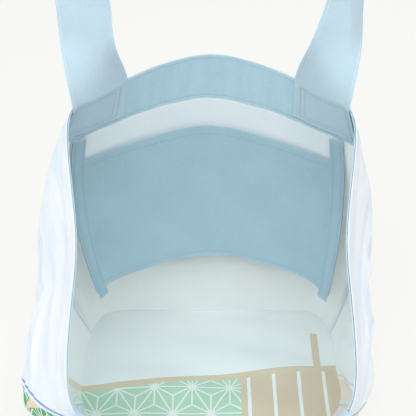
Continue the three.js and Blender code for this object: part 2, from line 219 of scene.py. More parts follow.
def soft_wall(u, v):
    """The loft, moved along its normal by its folds."""
    u, v = np.broadcast_arrays(np.asarray(u, float), np.asarray(v, float))
    return loft(u, v) + normal_of(loft, u, v) * fold_height(u, v)[..., None]


def on_wall(u, v, off):
    """A point at a distance off the soft wall along its normal; below zero is inside the bag."""
    u, v = np.broadcast_arrays(np.asarray(u, float), np.asarray(v, float))
    off = np.broadcast_to(off, u.shape)[..., None]
    return soft_wall(u, v) + normal_of(soft_wall, u, v) * off


# Length of the plain wall from base to rim, as a table round the bag.
LENGTH_U = np.linspace(0, 1, 281)
RISES = np.diff(loft(LENGTH_U[:, None], np.linspace(0, 1, 17)), axis=1)
LENGTHS = np.linalg.norm(RISES, axis=-1).sum(1)


def v_below(u, depth):
    """The v at a depth below the rim: one less the depth over the wall's length there."""
    return 1 - depth / np.interp(np.mod(u, 1), LENGTH_U, LENGTHS)


def rim_u(x, first, last):
    """The u, between two stations, where the rim passes x, read off a fine table."""
    u = np.linspace(first / STATIONS, last / STATIONS, 800)
    rim = loft(u, np.ones_like(u))[:, 0]
    order = np.argsort(rim)
    return float(np.interp(x, rim[order], u[order]))


def layer_middle(layer):
    """Middle of a layer of cloth from the wall's inner face; the wall is layer 0."""
    return -layer * LAYER + CLOTH / 2


def wall_grid(u_from, u_to, top, low, columns, rows, off):
    """Grid over a stretch of wall, from a depth below the rim (low; None is the base) to another."""
    s, t = np.meshgrid(np.linspace(0, 1, columns + 1), np.linspace(0, 1, rows + 1))
    u = mix(u_from, u_to, s)
    bottom = 0 * u if low is None else v_below(u, low)
    return on_wall(u, mix(bottom, v_below(u, top), t), off)


# Meshes

def new_piece(name, verts, faces, finishes, finish_of_face=None, uv=None, edge=None):
    """A smooth mesh object from arrays, with a UV map in metres and the distance to its edges."""
    mesh = bpy.data.meshes.new(name)
    mesh.from_pydata(verts.tolist(), [], faces.tolist())
    for finish in finishes:
        mesh.materials.append(finish)
    if finish_of_face is not None:
        mesh.polygons.foreach_set("material_index", finish_of_face.astype(np.int32))
    corner = np.empty(len(mesh.loops), np.int32)
    mesh.loops.foreach_get("vertex_index", corner)
    if uv is not None:
        mesh.uv_layers.new(name="cloth").data.foreach_set("uv", uv[corner].ravel().astype(np.float32))
    if edge is not None:
        mesh.attributes.new("edge", "FLOAT", "POINT").data.foreach_set("value", edge.astype(np.float32))
    mesh.polygons.foreach_set("use_smooth", np.ones(len(mesh.polygons), bool))
    mesh.set_sharp_from_angle(angle=np.radians(50))
    mesh.update()
    piece = bpy.data.objects.new(name, mesh)
    bpy.context.collection.objects.link(piece)
    return piece


def grid_normals(grid):
    """Unit normals of a grid of points, along d/drow x d/dcolumn."""
    normal = np.cross(np.gradient(grid, axis=0), np.gradient(grid, axis=1))
    return normal / np.linalg.norm(normal, axis=-1, keepdims=True)


def cloth(name, grid, thickness, finishes, plump=0.0, uv=None):
    """A closed sheet round a grid of points: the grid moved half the thickness each way along its
    normals, and thinner towards its long edges by the share plump, as a folded strip is."""
    rows, columns = grid.shape[0] - 1, grid.shape[1] - 1
    normal = grid_normals(grid)
    across = np.linspace(-1, 1, columns + 1)
    half = thickness / 2 * (1 - plump * np.abs(across) ** 10)[None, :, None]
    under, over = grid - normal * half, grid + normal * half
    verts = np.concatenate([under.reshape(-1, 3), over.reshape(-1, 3)])
    number = np.arange((rows + 1) * (columns + 1)).reshape(rows + 1, columns + 1)
    inner, outer = number, number + number.size

    def quads(a, b, c, d):
        return np.stack([x.ravel() for x in (a, b, c, d)], axis=1)

    inside = quads(inner[:-1, :-1], inner[:-1, 1:], inner[1:, 1:], inner[1:, :-1])
    outside = quads(outer[:-1, :-1], outer[1:, :-1], outer[1:, 1:], outer[:-1, 1:])
    rims = [
        quads(inner[0, :-1], outer[0, :-1], outer[0, 1:], inner[0, 1:]),
        quads(inner[-1, :-1], inner[-1, 1:], outer[-1, 1:], outer[-1, :-1]),
        quads(inner[:-1, 0], inner[1:, 0], outer[1:, 0], outer[:-1, 0]),
        quads(inner[:-1, -1], outer[:-1, -1], outer[1:, -1], inner[1:, -1]),
    ]
    faces = np.concatenate([outside, inside, *rims])
    side = np.zeros(len(faces))
    side[len(outside):len(outside) + len(inside)] = len(finishes) - 1
    run, rise = np.zeros(grid.shape[:2]), np.zeros(grid.shape[:2])
    run[:, 1:] = np.cumsum(np.linalg.norm(np.diff(grid, axis=1), axis=-1), axis=1)
    rise[1:] = np.cumsum(np.linalg.norm(np.diff(grid, axis=0), axis=-1), axis=0)
    to_side, to_end = np.minimum(run, run[:, -1:] - run), np.minimum(rise, rise[-1:] - rise)
    edge = np.minimum(to_side, to_end).ravel()
    uv = np.stack([run - run[:, -1:] / 2, rise], axis=-1) if uv is None else uv
    uv = np.tile(uv.reshape(-1, 2), (2, 1))
    piece = new_piece(name, verts, faces, finishes, side, uv, np.tile(edge, 2))
    return piece


STITCH_PITCH, STITCH_LENGTH, STITCH_WIDTH = 0.0034, 0.0026, 0.0008
STITCH_LIFT = STITCH_WIDTH * 0.12


def stitch_template():
    """One stitch lying along x: an ellipsoid with two rings of six and two ends."""
    angle = np.arange(6) * np.pi / 3
    ring_at = [np.column_stack([np.full(6, x), r * np.cos(angle), r * np.sin(angle)])
               for x, r in ((-0.28, 0.5), (0.28, 0.5))]
    verts = np.vstack([[[-0.5, 0, 0]], *ring_at, [[0.5, 0, 0]]])
    k = np.arange(6)
    n = (k + 1) % 6
    ends = [np.stack([0 * k, 1 + n, 1 + k], 1), np.stack([13 + 0 * k, 7 + k, 7 + n], 1)]
    middle = [np.stack([1 + k, 1 + n, 7 + n], 1), np.stack([1 + k, 7 + n, 7 + k], 1)]
    return verts * [STITCH_LENGTH, STITCH_WIDTH, STITCH_WIDTH * 0.7], np.vstack(ends + middle)


def stitch_line(path, normal):
    """Stitches at an even pitch along a path of points, lying flat on the side that normal names."""
    step = np.linalg.norm(np.diff(path, axis=0), axis=1)
    run = np.concatenate([[0], np.cumsum(step)])
    count = max(int(run[-1] / STITCH_PITCH), 2)
    at = (np.arange(count) + 0.5) / count * run[-1]

    def read(values, where):
        return np.stack([np.interp(where, run, values[:, k]) for k in range(3)], axis=1)

    middle, up = read(path, at), read(normal, at)
    along = read(path, at + 0.001) - read(path, at - 0.001)
    along /= np.linalg.norm(along, axis=1, keepdims=True)
    side = np.cross(up, along)
    side /= np.linalg.norm(side, axis=1, keepdims=True)
    up = np.cross(along, side)
    shape, faces = stitch_template()
    basis = np.stack([along, side, up], axis=1)
    verts = middle[:, None, :] + np.einsum("vk,nkj->nvj", shape, basis)
    faces = faces[None] + (np.arange(count) * len(shape))[:, None, None]
    return verts.reshape(-1, 3), faces.reshape(-1, 3)


def thread(name, lines, finish):
    """One piece from several rows of stitches."""
    verts, faces, start = [], [], 0
    for path, normal in lines:
        v, f = stitch_line(path, normal)
        verts.append(v)
        faces.append(f + start)
        start += len(v)
    return new_piece(name, np.vstack(verts), np.vstack(faces), [finish])


# Finishes

def linear(red, green, blue):
    """A display colour from 0 to 255 as linear light, by the sRGB curve."""
    c = np.array([red, green, blue]) / 255
    return (*np.where(c <= 0.04045, c / 12.92, ((c + 0.055) / 1.055) ** 2.4).tolist(), 1.0)


class Shade:
    """A number that varies over a surface; each operator adds a Math node."""

    def __init__(self, finish, socket):
        self.finish, self.socket = finish, socket

    def math(self, operation, *others):
        node = self.finish.node("ShaderNodeMath", {"operation": operation},
                                {i: x for i, x in enumerate((self, *others))})
        return Shade(self.finish, node.outputs[0])

    def reflected(self, operation, other):
        node = self.finish.node("ShaderNodeMath", {"operation": operation}, {0: other, 1: self})
        return Shade(self.finish, node.outputs[0])

    def __add__(self, other):
        return self.math("ADD", other)

    def __sub__(self, other):
        return self.math("SUBTRACT", other)

    def __rsub__(self, other):
        return self.reflected("SUBTRACT", other)

    def __mul__(self, other):
        return self.math("MULTIPLY", other)

    def __truediv__(self, other):
        return self.math("DIVIDE", other)

    def __gt__(self, other):
        return self.math("GREATER_THAN", other)

    def __lt__(self, other):
        return self.math("LESS_THAN", other)

    __radd__ = __add__
    __rmul__ = __mul__


class Finish:
    """A Principled material and the nodes in front of it. The glow is how much light soaks through
    the cloth."""

    def __init__(self, name, glow=0.0, roughness=0.88, sheen=0.15):
        self.material = bpy.data.materials.new(name)
        self.material.use_nodes = True
        self.tree = self.material.node_tree
        self.shader = self.tree.nodes["Principled BSDF"]
        self.shader.inputs["Roughness"].default_value = roughness
        self.shader.inputs["Sheen Weight"].default_value = sheen
        self.shader.inputs["Sheen Roughness"].default_value = 0.6
        self.shader.inputs["Specular IOR Level"].default_value = 0.25
        self.shader.inputs["Subsurface Weight"].default_value = glow
        self.shader.inputs["Subsurface Radius"].default_value = (1.0, 1.0, 1.0)
        self.shader.inputs["Subsurface Scale"].default_value = 0.003
        place = self.node("ShaderNodeUVMap", {}, {}).outputs[0]
        split = self.node("ShaderNodeSeparateXYZ", {}, {0: place})
        self.u, self.v = Shade(self, split.outputs[0]), Shade(self, split.outputs[1])

    def node(self, kind, settings, inputs):
        made = self.tree.nodes.new(kind)
        for key, value in settings.items():
            setattr(made, key, value)
        for key, value in inputs.items():
            self.feed(made.inputs[key], value)
        return made

    def feed(self, socket, value):
        if isinstance(value, Shade):
            self.tree.links.new(value.socket, socket)
        elif isinstance(value, bpy.types.NodeSocket):
            self.tree.links.new(value, socket)
        else:
            socket.default_value = value

    def blend(self, factor, first, second, kind="MIX"):
        settings = {"data_type": "RGBA", "blend_type": kind}
        return self.node("ShaderNodeMix", settings, {0: factor, 6: first, 7: second}).outputs[2]

    def noise(self, across, up, detail=3.0):
        """Noise on the cloth, with its scale across and up the cloth, from 0 to 1."""
        place = self.node("ShaderNodeCombineXYZ", {}, {0: self.u * across, 1: self.v * up})
        settings = {"Vector": place.outputs[0], "Scale": 1.0, "Detail": detail}
        return Shade(self, self.node("ShaderNodeTexNoise", {}, settings).outputs[0])

    def attribute(self, name):
        made = self.node("ShaderNodeAttribute", {"attribute_name": name}, {})
        return Shade(self, made.outputs["Fac"])

    def grey(self, value):
        """A number as a grey colour."""
        return self.node("ShaderNodeCombineColor", {}, {0: value, 1: value, 2: value}).outputs[0]

    def done(self, colour, roughness=None, bump=None, depth=0.0002, strength=0.4):
        self.feed(self.shader.inputs["Base Color"], colour)
        if roughness is not None:
            self.feed(self.shader.inputs["Roughness"], roughness)
        if bump is not None:
            inputs = {"Height": bump, "Distance": depth, "Strength": strength}
            lift = self.node("ShaderNodeBump", {}, inputs)
            self.feed(self.shader.inputs["Normal"], lift.outputs[0])
        return self.material


THREAD_PITCH = 0.0007
FADE_EDGE = 0.005
# Scales of the slow random change in tone, across and up the cloth; the upright scales give bands of
# painted crease shade
EVEN_DRIFT, UPRIGHT_CREASE_SHADE = (16, 16), (55, 9)


def woven(finish, colour, slub=0.05, wear=0.05, tone_and_crease_shade_scales=EVEN_DRIFT):
    """Plain weave: warp and weft ride over each other in turn, slubs run both ways along the
    threads, the tone changes slowly, on the facing in upright bands of painted crease shade, and
    folded edges are paler."""
    warp = (finish.u * (np.pi / THREAD_PITCH)).math("SINE")
    weft = (finish.v * (np.pi / THREAD_PITCH)).math("SINE")
    over = warp * weft > 0
    threads = warp.math("ABSOLUTE") * over + weft.math("ABSOLUTE") * (1 - over)
    streaks = finish.noise(70, 1100) + finish.noise(1100, 70) - 1.0
    # Slow change in tone; on the facing its upright bands are painted shade of soft creases.
    tone_and_crease_shade = finish.noise(*tone_and_crease_shade_scales, 2.0) - 0.5
    rubbed = (1 - finish.attribute("edge") / FADE_EDGE).math("MAXIMUM", 0.0)
    tone = 1.0 + streaks * (2 * slub) + tone_and_crease_shade * (2.2 * slub) + rubbed * wear
    shaded = finish.blend(1.0, colour, finish.grey(tone), "MULTIPLY")
    creases = finish.noise(45, 45, 4.0)
    roughness = 0.84 + streaks * 0.12
    return finish.done(shaded, roughness, threads * 0.6 + streaks + creases * 1.5)


def plain_cloth(name, colour, slub=0.05, wear=0.05, tone_and_crease_shade_scales=EVEN_DRIFT):
    return woven(Finish(name), linear(*colour), slub, wear, tone_and_crease_shade_scales)


STAR_SIDE, STAR_LINE = 0.050, 0.0011


def hemp_leaf(finish, u, v):
    """Traditional hemp-leaf stars: a net of equal triangles, each cut from its middle to its
    corners. With a triangle's three shares sorted, a line is where the least is 0 or where the
    lower two are equal. Gives 1 on the lines."""
    a = u / STAR_SIDE - v / (STAR_SIDE * 3 ** 0.5)
    b = v * (2 / (STAR_SIDE * 3 ** 0.5))
    a, b = a.math("FRACT"), b.math("FRACT")
    flip = a + b > 1.0
    a = a + flip * (1 - a * 2)
    b = b + flip * (1 - b * 2)
    c = 1 - a - b
    least = a.math("MINIMUM", b).math("MINIMUM", c)
    most = a.math("MAXIMUM", b).math("MAXIMUM", c)
    between = 1 - least - most
    edges = least * (STAR_SIDE * 0.866)
    spokes = (between - least) * (STAR_SIDE * 0.5)
    return edges.math("MINIMUM", spokes) < STAR_LINE


# The print lies in front of a tan band, which crosses the base on a slight slant and climbs the
# side walls.
BAND_BACK, BAND_FRONT, BAND_SLANT = -0.019, -0.029, -0.112
PRINT_RISE, PRINT_TILT, PRINT_TOP = 1.1, 0.2, -0.014
LINE_LOW, LINE_HIGH, BLOCK = -0.008, -0.004, 0.130
DOT_PITCH, DOT_REACH, DOT_INK = 0.012, 0.16, 0.6
SAND_LEFT, SLAT_PITCH, SLAT_GAP = 0.040, 0.034, 0.07
BAR_LEFT, BAR_RIGHT, BAR_FRONT, BAR_BACK = 0.141, 0.151, -0.012, 0.060
WALL_GLOW = 0.6


def from_middle(value, pitch):
    """Distance from the middle of each pitch, as a share of the pitch."""
    return ((value / pitch).math("FRACT") - 0.5).math("ABSOLUTE")


def printed_wall(name, inks):
    """Wall print: on the lower wall in front of the tan band, blocks of hemp leaf and of dotted sand
    in turn, up to a slant edge that climbs to the front and to the left, with a thin blue line above.
    A pale wash runs in streaks round the bag."""
    finish = Finish(name, WALL_GLOW)
    inks = {key: linear(*ink) for key, ink in inks.items()}
    u, v = finish.u, finish.v
    place = finish.node("ShaderNodeTexCoord", {}, {}).outputs["Object"]
    split = finish.node("ShaderNodeSeparateXYZ", {}, {0: place})
    x, y = Shade(finish, split.outputs[0]), Shade(finish, split.outputs[1])
    ahead = y + x * BAND_SLANT
    stars = finish.blend(hemp_leaf(finish, u, v), inks["leaf"], inks["line"])
    turn = ((u + 8 * BLOCK) / (2 * BLOCK)).math("FRACT") < 0.5
    dots = from_middle(u, DOT_PITCH) + from_middle(v, DOT_PITCH) < DOT_REACH
    blocks = finish.blend(turn, stars, finish.blend(dots * DOT_INK, inks["sand"], inks["line"]))
    level = v + ahead * PRINT_RISE + x * PRINT_TILT
    field = (level < PRINT_TOP) * (ahead < BAND_BACK)
    middle = (level < PRINT_TOP) * (ahead < BAND_FRONT)
    line = (level > LINE_LOW) * (level < LINE_HIGH) * (ahead < BAND_BACK)
    wash = ((finish.noise(7, 34, 5.0) - 0.42) * 2).math("MAXIMUM", 0.0).math("MINIMUM", 0.6)
    colour = finish.blend(wash, inks["ground"], inks["wash"])
    colour = finish.blend(field, colour, inks["tan"])
    colour = finish.blend(middle, colour, blocks)
    colour = finish.blend(line, colour, inks["blue"])
    return woven(finish, colour, 0.03, 0.02)


def printed_base(name, inks):
    """Base print: a tan band across, hemp leaf in front of it on the left, sand slats on the right,
    and a short tan bar."""
    finish = Finish(name)
    inks = {key: linear(*ink) for key, ink in inks.items()}
    u, v = finish.u, finish.v
    ahead = v + u * BAND_SLANT
    stars = finish.blend(hemp_leaf(finish, u, v), inks["leaf"], inks["line"])
    gaps = from_middle(u, SLAT_PITCH) < SLAT_GAP
    blocks = finish.blend(u > SAND_LEFT, stars, finish.blend(gaps, inks["sand"], inks["ground"]))
    colour = finish.blend(ahead < BAND_FRONT, inks["ground"], blocks)
    band = (ahead > BAND_FRONT) * (ahead < BAND_BACK)
    bar = (u > BAR_LEFT) * (u < BAR_RIGHT) * (v > BAR_FRONT) * (v < BAR_BACK)
    colour = finish.blend(band.math("MAXIMUM", bar), colour, inks["tan"])
    return woven(finish, colour, 0.03, 0.02)


def thread_finish(name, colour):
    """Spun thread: fine slanting ply lines over a matt colour."""
    finish = Finish(name, roughness=0.8, sheen=0.2)
    place = finish.node("ShaderNodeTexCoord", {}, {}).outputs["Object"]
    inputs = {"Vector": place, "Scale": 900.0}
    wave = finish.node("ShaderNodeTexWave", {"bands_direction": "DIAGONAL"}, inputs)
    ply = Shade(finish, wave.outputs["Fac"])
    colour = finish.blend(1.0, linear(*colour), finish.grey(0.9 + ply * 0.15), "MULTIPLY")
    return finish.done(colour, None, ply, 0.0001, 0.3)


# Strap, facing and pocket are one pale blue cloth; the strap's colour is set lighter, painted light
# shining through the strap.
STRAP_CLOTH_PAINTED_LIT = plain_cloth("strap_cloth", (185, 208, 220), 0.06)
# The pocket's colour is set darker, painted shade where it hangs inside the bag.
POCKET_CLOTH_PAINTED_SHADE = plain_cloth("blue_cloth", (164, 194, 207), 0.09)
# The facing's upright bands of tone are painted shade of soft creases.
FACING = plain_cloth("facing_cloth", (180, 210, 223), 0.10, tone_and_crease_shade_scales=UPRIGHT_CREASE_SHADE)
PALE = plain_cloth("pale_cloth", (230, 238, 242), 0.03)
THREAD = thread_finish("blue_thread", (146, 176, 190))
PALE_THREAD = thread_finish("pale_thread", (222, 232, 238))
# Inks of the print on the right side of the cloth, on the base's wrong side, where they show well,
# and on the walls' wrong side, where they hardly do.
OUTER_INKS = {
    "ground": (235, 242, 249), "wash": (194, 213, 236), "leaf": (58, 158, 92), "line": (236, 243, 236),
    "tan": (196, 178, 132), "sand": (226, 204, 168), "blue": (96, 150, 205),
}
INNER_INKS = {
    "ground": (236, 243, 243), "leaf": (178, 217, 192), "line": (232, 240, 234),
    "tan": (216, 206, 178), "sand": (214, 201, 178),
}
SHOW_THROUGH = {
    "ground": (236, 243, 243), "wash": (236, 243, 243), "leaf": (212, 230, 220), "line": (232, 240, 236),
    "tan": (222, 216, 196), "sand": (236, 228, 214), "blue": (214, 226, 234),
}
OUTSIDE = printed_wall("printed_cloth", OUTER_INKS)
INSIDE = printed_wall("printed_cloth_wrong_side", SHOW_THROUGH)
BASE_OUTSIDE = printed_base("printed_base", OUTER_INKS)
BASE_INSIDE = printed_base("printed_base_wrong_side", INNER_INKS)


def dress(piece, slot, *nodes):
    """Rides a piece on the bag and puts it in the place of its nodes; its slot is not used."""
    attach(piece, "bag")
    if nodes:
        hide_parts(*nodes)
    return piece


def seam_u(u):
    """Half a seam's gap as a step of u, at the rim."""
    speed = np.linalg.norm(loft(u + 1e-3, 1.0) - loft(u - 1e-3, 1.0)) / 2e-3
    return SEAM_GAP / 2 / float(speed)


# Walls and base
FOOT_V = -0.003
WALLS = {
    "back_wall": ("left_back", "right_back", 150, "back_panel"),
    "right_wall": ("right_back", "right_front", 110, "right_gusset"),
    "front_wall": ("right_front", "left_front", 140, "front_panel"),
    "left_wall": ("left_front", "left_back", 110, "left_gusset"),
}


def corner_pair(first, last):
    """The two corners' u, with the first taken back a turn where the stretch crosses the start."""
    u_from, u_to = CORNERS[first], CORNERS[last]
    return (u_from - 1 if u_from > u_to else u_from), u_to


for name, (first, last, columns, node) in WALLS.items():
    u_from, u_to = corner_pair(first, last)
    s, t = np.meshgrid(np.linspace(0, 1, columns + 1), np.linspace(0, 1, 121))
    u = mix(u_from + seam_u(u_from), u_to - seam_u(u_to), s)
    grid = on_wall(u, mix(FOOT_V, 1.0, t), layer_middle(0))
    dress(cloth(name, grid, CLOTH, [OUTSIDE, INSIDE]), "printed_cloth", node)


BASE_RISE, BASE_CREASE, BASE_RIPPLE, BASE_FADE = 0.0028, 0.0016, 0.0012, 0.35


def base_grid():
    """A square turned into a disc, then stretched to the outline by its radius at each angle, with
    a low rise and creases that fade towards the seam."""
    s, t = np.meshgrid(np.linspace(-1, 1, 121), np.linspace(-1, 1, 81))
    x, y = s * np.sqrt(1 - t * t / 2), t * np.sqrt(1 - s * s / 2)
    radius, angle = np.hypot(x, y), np.arctan2(y, x)
    u = np.linspace(0, 1, 721)
    foot = loft(u, 0 * u) + normal_of(loft, u, 0 * u) * CLOTH
    turn = np.unwrap(np.arctan2(foot[:, 1], foot[:, 0]))
    order = np.argsort(turn)
    reach = np.interp(angle, turn[order], np.hypot(foot[:, 0], foot[:, 1])[order], period=2 * np.pi)
    x, y = radius * reach * np.cos(angle), radius * reach * np.sin(angle)
    crease = BASE_CREASE * np.sin(38 * x + 9 * y + 1.0) * np.sin(47 * y - 11 * x)
    crease = crease + BASE_RIPPLE * np.sin(90 * y + 21 * x)
    z = CLOTH / 2 + (BASE_RISE + crease) * smooth(1 - radius, 0.0, BASE_FADE)
    return np.stack([x, y, z], axis=-1)


base = base_grid()
base_cloth = cloth("base_cloth", base, CLOTH, [BASE_OUTSIDE, BASE_INSIDE], uv=base[..., :2])
dress(base_cloth, "printed_cloth", "base_panel")

# Facings, hems and the seams' strips
INNER = {
    "back_facing_cloth": ("left_back", "right_back", FACING_HEIGHT, 150, 28, "back_facing"),
    "front_facing_cloth": ("right_front", "left_front", FACING_HEIGHT, 140, 28, "front_facing"),
    "right_hem": ("right_back", "right_front", SIDE_HEM_HEIGHT, 110, 10, "right_side_hem"),
    "left_hem": ("left_front", "left_back", SIDE_HEM_HEIGHT, 110, 10, "left_side_hem"),
}
for name, (first, last, height, columns, rows, node) in INNER.items():
    u_from, u_to = corner_pair(first, last)
    u_from, u_to = u_from + seam_u(u_from), u_to - seam_u(u_to)
    grid = wall_grid(u_from, u_to, 0.0, height, columns, rows, layer_middle(1))
    dress(cloth(name, grid, CLOTH, [FACING]), "blue_cloth", node)

for corner, u in CORNERS.items():
    half = SEAM_STRIP_WIDTH / 2 * seam_u(u) / (SEAM_GAP / 2)
    grid = wall_grid(u - half, u + half, FACING_HEIGHT + SEAM_GAP, None, 6, 90, layer_middle(1))
    dress(cloth(corner + "_strip", grid, CLOTH, [PALE], plump=0.6), "pale_cloth", corner + "_seam")

# Pocket: s runs across it, and depth goes down from the facing
POCKET_LENGTH = POCKET_DROP + POCKET_DEPTH
POCKET_TOP = FACING_HEIGHT + SEAM_GAP
POCKET_U = rim_u(HALF_MOUTH - POCKET_INSET, 0, 3)
POCKET_WAVE = 0.0016


def pocket_point(s, depth, off):
    """A point of the hanging pocket: it comes further off the plain wall with the square of its
    depth, most at its lower corners, sways to the right, and its lower edge waves a little."""
    share = depth / POCKET_LENGTH
    u = (2 * s - 1) * POCKET_U * (1 - POCKET_TAPER * share)
    v = v_below(u, POCKET_TOP + depth)
    wave = POCKET_WAVE * share ** 2 * np.sin(9 * s + 1.1) * np.sin(17 * s)
    hang = layer_middle(1) - POCKET_HANG * share ** 2 - off + wave
    point = loft(u, v) + normal_of(loft, u, v) * hang[..., None]
    point[..., 1] -= POCKET_CORNER_HANG * share ** 2 * (2 * s - 1) ** 2
    point[..., 0] += POCKET_SWAY * share
    return point


def pocket_gape(s, depth):
    """How far the mouth stands open: a half sine across, by the square of the height."""
    height = np.clip((POCKET_LENGTH - depth) / POCKET_DEPTH, 0, 1)
    return POCKET_GAPE * np.sin(np.pi * np.clip(s, 0, 1)) * height ** 2


def pocket_grid(s_from, s_to, low, top, columns, rows, layer, gaping):
    """Grid over a stretch of the pocket, on one of its layers, with its mouth open where gaping is 1."""
    s, depth = np.meshgrid(np.linspace(s_from, s_to, columns + 1), np.linspace(low, top, rows + 1))
    return pocket_point(s, depth, layer * LAYER + gaping * pocket_gape(s, depth))


TAPE_THICKNESS = 0.0012
BINDING_SHARE = BINDING_WIDTH / (2 * (HALF_MOUTH - POCKET_INSET))
LOW_END = POCKET_LENGTH + BINDING_TAIL
grid = pocket_grid(0, 1, POCKET_LENGTH, 0.0, 120, 90, 0, 0)
dress(cloth("pocket_back_cloth", grid, CLOTH, [PALE]), "pale_cloth", "pocket_backing")
face_grid = pocket_grid(0, 1, POCKET_LENGTH, POCKET_DROP, 120, 80, 1, 1)
dress(cloth("pocket_face", face_grid, CLOTH, [POCKET_CLOTH_PAINTED_SHADE]), "blue_cloth", "pocket_front")
tape_grids = []
for hand, s_from, s_to in (("left", 0.0, BINDING_SHARE), ("right", 1 - BINDING_SHARE, 1.0)):
    tape_grids.append(pocket_grid(s_from, s_to, LOW_END, 0.0, 12, 100, 2, 1))
    tape = cloth("pocket_" + hand + "_tape", tape_grids[-1], TAPE_THICKNESS, [POCKET_CLOTH_PAINTED_SHADE], plump=0.6)
    dress(tape, "blue_cloth", "pocket_" + hand + "_binding")

# Straps: s goes from the inner edge (0) to the outer edge (1) of a leg
STRAP_COLUMNS = 28
CORNER_REACH = 0.0016
STRAP_LEAN, SWAY_HEIGHT = 0.085, 0.09
STRAP_THICKNESS = 0.0017
ACROSS = np.linspace(0, 1, STRAP_COLUMNS + 1)
FRONT_LEG_Y = loft(rim_u(LEG_X["front"] - STRAP_WIDTH / 2, 5, 7), 1.0)[1]
BACK_LEG_Y, BACK_LEG_Z = back_rim_y(LEG_X["back"]), back_rim_z(LEG_X["back"])
HINGE = {
    "back": np.array([0, BACK_LEG_Y - 2 * LAYER, BACK_LEG_Z + STRAP_RISE]),
    "front": np.array([0, FRONT_LEG_Y - LAYER, FRONT_HEIGHT + FRONT_CORNER_LIFT + FRONT_STRAP_RISE]),
}


def strap_across(side, hand):
    """The u and the x across a strap's end, from its inner to its outer edge."""
    x_far, x_near = LEG_X[side] + STRAP_WIDTH / 2, LEG_X[side] - STRAP_WIDTH / 2
    if side == "back":
        u_near, u_far = rim_u(x_near, 0, 3), rim_u(x_far - SEAM_GAP, 0, 3) + CORNER_REACH
    else:
        u_near, u_far = rim_u(x_near, 5, 7), rim_u(x_far, 5, 7)
    u, x = mix(u_near, u_far, ACROSS), mix(x_near, x_far, ACROSS)
    if hand == "left":
        return (-u if side == "back" else 1 - u), -x
    return u, x


def sewn_grid(side, hand, rows):
    """The part of a strap that is sewn down inside the facing, up to the rim."""
    u, _ = strap_across(side, hand)
    depth = STRAP_SEWN * np.linspace(1, 0, rows + 1)[:, None]
    return on_wall(u[None] + 0 * depth, v_below(u, depth), layer_middle(2))


# How a handle hangs: degrees that the outer part of its right and left leg is folded back, shares of
# the width where the right leg's crease starts and ends, lean of the right leg, offset of a leg's
# foot, height where a leg spreads further, and sway to the right.
Slack = namedtuple("Slack", ["fold_right", "fold_left", "crease_foot", "crease_top", "lean", "foot_out",
                             "spread_from", "sway"])
BACK_SLACK = Slack(58, 6, 0.90, 0.27, 0.004, 0.016, 0.075, 0.006)
FRONT_SLACK = Slack(18, 30, 0.65, 0.65, 0.0, 0.0, 0.0, 0.0)
CREASE, CREASE_HEIGHT, CREASE_HALF = 0.65, 0.12, 0.06
FOLD_FROM, FOLD_TO, FOLD_OPEN = -0.01, 0.07, 0.9
WAVE_BEND, HELD_HEIGHT = 0.10, 0.03


def loop_line(root_x, t, slack):
    """Middle line of a handle: up the right leg, over a half ellipse, and down the left leg, each leg
    spreading by a smooth step."""
    arch_x = root_x + LEG_SPREAD
    along = np.clip(t, 0, 1) * loop_length(root_x)
    left = loop_length(root_x) - along
    angle = np.pi * np.clip((along - LEG_LENGTH) / (loop_length(root_x) - 2 * LEG_LENGTH), 0, 1)
    foot = np.minimum(np.minimum(along, left), LEG_LENGTH)
    spread = mix(slack.foot_out, LEG_SPREAD, smooth(foot, slack.spread_from, LEG_LENGTH))
    leg = (root_x + spread) * np.where(along < left, 1, -1)
    on_leg = foot < LEG_LENGTH
    x = np.where(on_leg, leg, arch_x * np.cos(angle))
    z = np.where(on_leg, foot, LEG_LENGTH + ARCH_RISE * np.sin(angle))
    lean = np.where(along < left, slack.lean, 0.0) * (1 - smooth(z, LEG_LENGTH, LEG_LENGTH + ARCH_RISE))
    return np.stack([x + (slack.sway + lean) * smooth(z, 0, SWAY_HEIGHT), 0 * x, z], axis=-1)


def loop_length(root_x):
    """Two legs and half an ellipse, by the mean of the squares of its half axes."""
    return 2 * LEG_LENGTH + np.pi * np.sqrt(((root_x + LEG_SPREAD) ** 2 + ARCH_RISE ** 2) / 2)


def loop_points(root_x, t, slack):
    """A handle's loop in its own frame, for a grid of t: flat across the legs, turning edge on at
    the top. The outer part of each leg is folded back, on the right leg along a crease that crosses
    it on a slant, and the cloth waves a little."""
    step = 1e-3
    line = loop_line(root_x, t, slack)
    along = loop_line(root_x, t + step, slack) - loop_line(root_x, t - step, slack)
    along /= np.linalg.norm(along, axis=-1, keepdims=True)
    across = np.stack([along[..., 2], 0 * t, -along[..., 0]], axis=-1)
    height = line[..., 2]
    turn = (smooth(height, TWIST_HEIGHT, LEG_LENGTH + ARCH_RISE) * np.pi / 2)[..., None]
    width = across * np.cos(turn) + np.array([0, 1, 0]) * np.sin(turn)
    normal = np.cross(along, width)
    fold = np.where(t < 0.5, slack.fold_right, slack.fold_left) * smooth(height, FOLD_FROM, FOLD_TO)
    fold = np.radians(fold * (1 - smooth(height, LEG_LENGTH, LEG_LENGTH + FOLD_OPEN * ARCH_RISE)))
    crease = mix(slack.crease_foot, slack.crease_top, np.clip(height / CREASE_HEIGHT, 0, 1))
    crease = np.where(t < 0.5, crease, CREASE)
    bend = fold * smooth(ACROSS, crease - CREASE_HALF, crease + CREASE_HALF)
    bend = bend + WAVE_BEND * np.sin(2 * np.pi * (ACROSS + 2 * t))
    pace = STRAP_WIDTH / STRAP_COLUMNS
    held = smooth(height, 0.0, HELD_HEIGHT)
    flat = np.cumsum(np.cos(bend), axis=1) * pace - STRAP_WIDTH / 2 - pace
    flat = mix((ACROSS - 0.5) * STRAP_WIDTH, flat, held)
    lift = np.cumsum(np.sin(bend), axis=1) * pace
    lift = (lift - lift[:, STRAP_COLUMNS // 3, None]) * held
    return line + width * flat[..., None] + normal * lift[..., None]


EASE_HEIGHT, TURN_HEIGHT = 0.110, 0.050


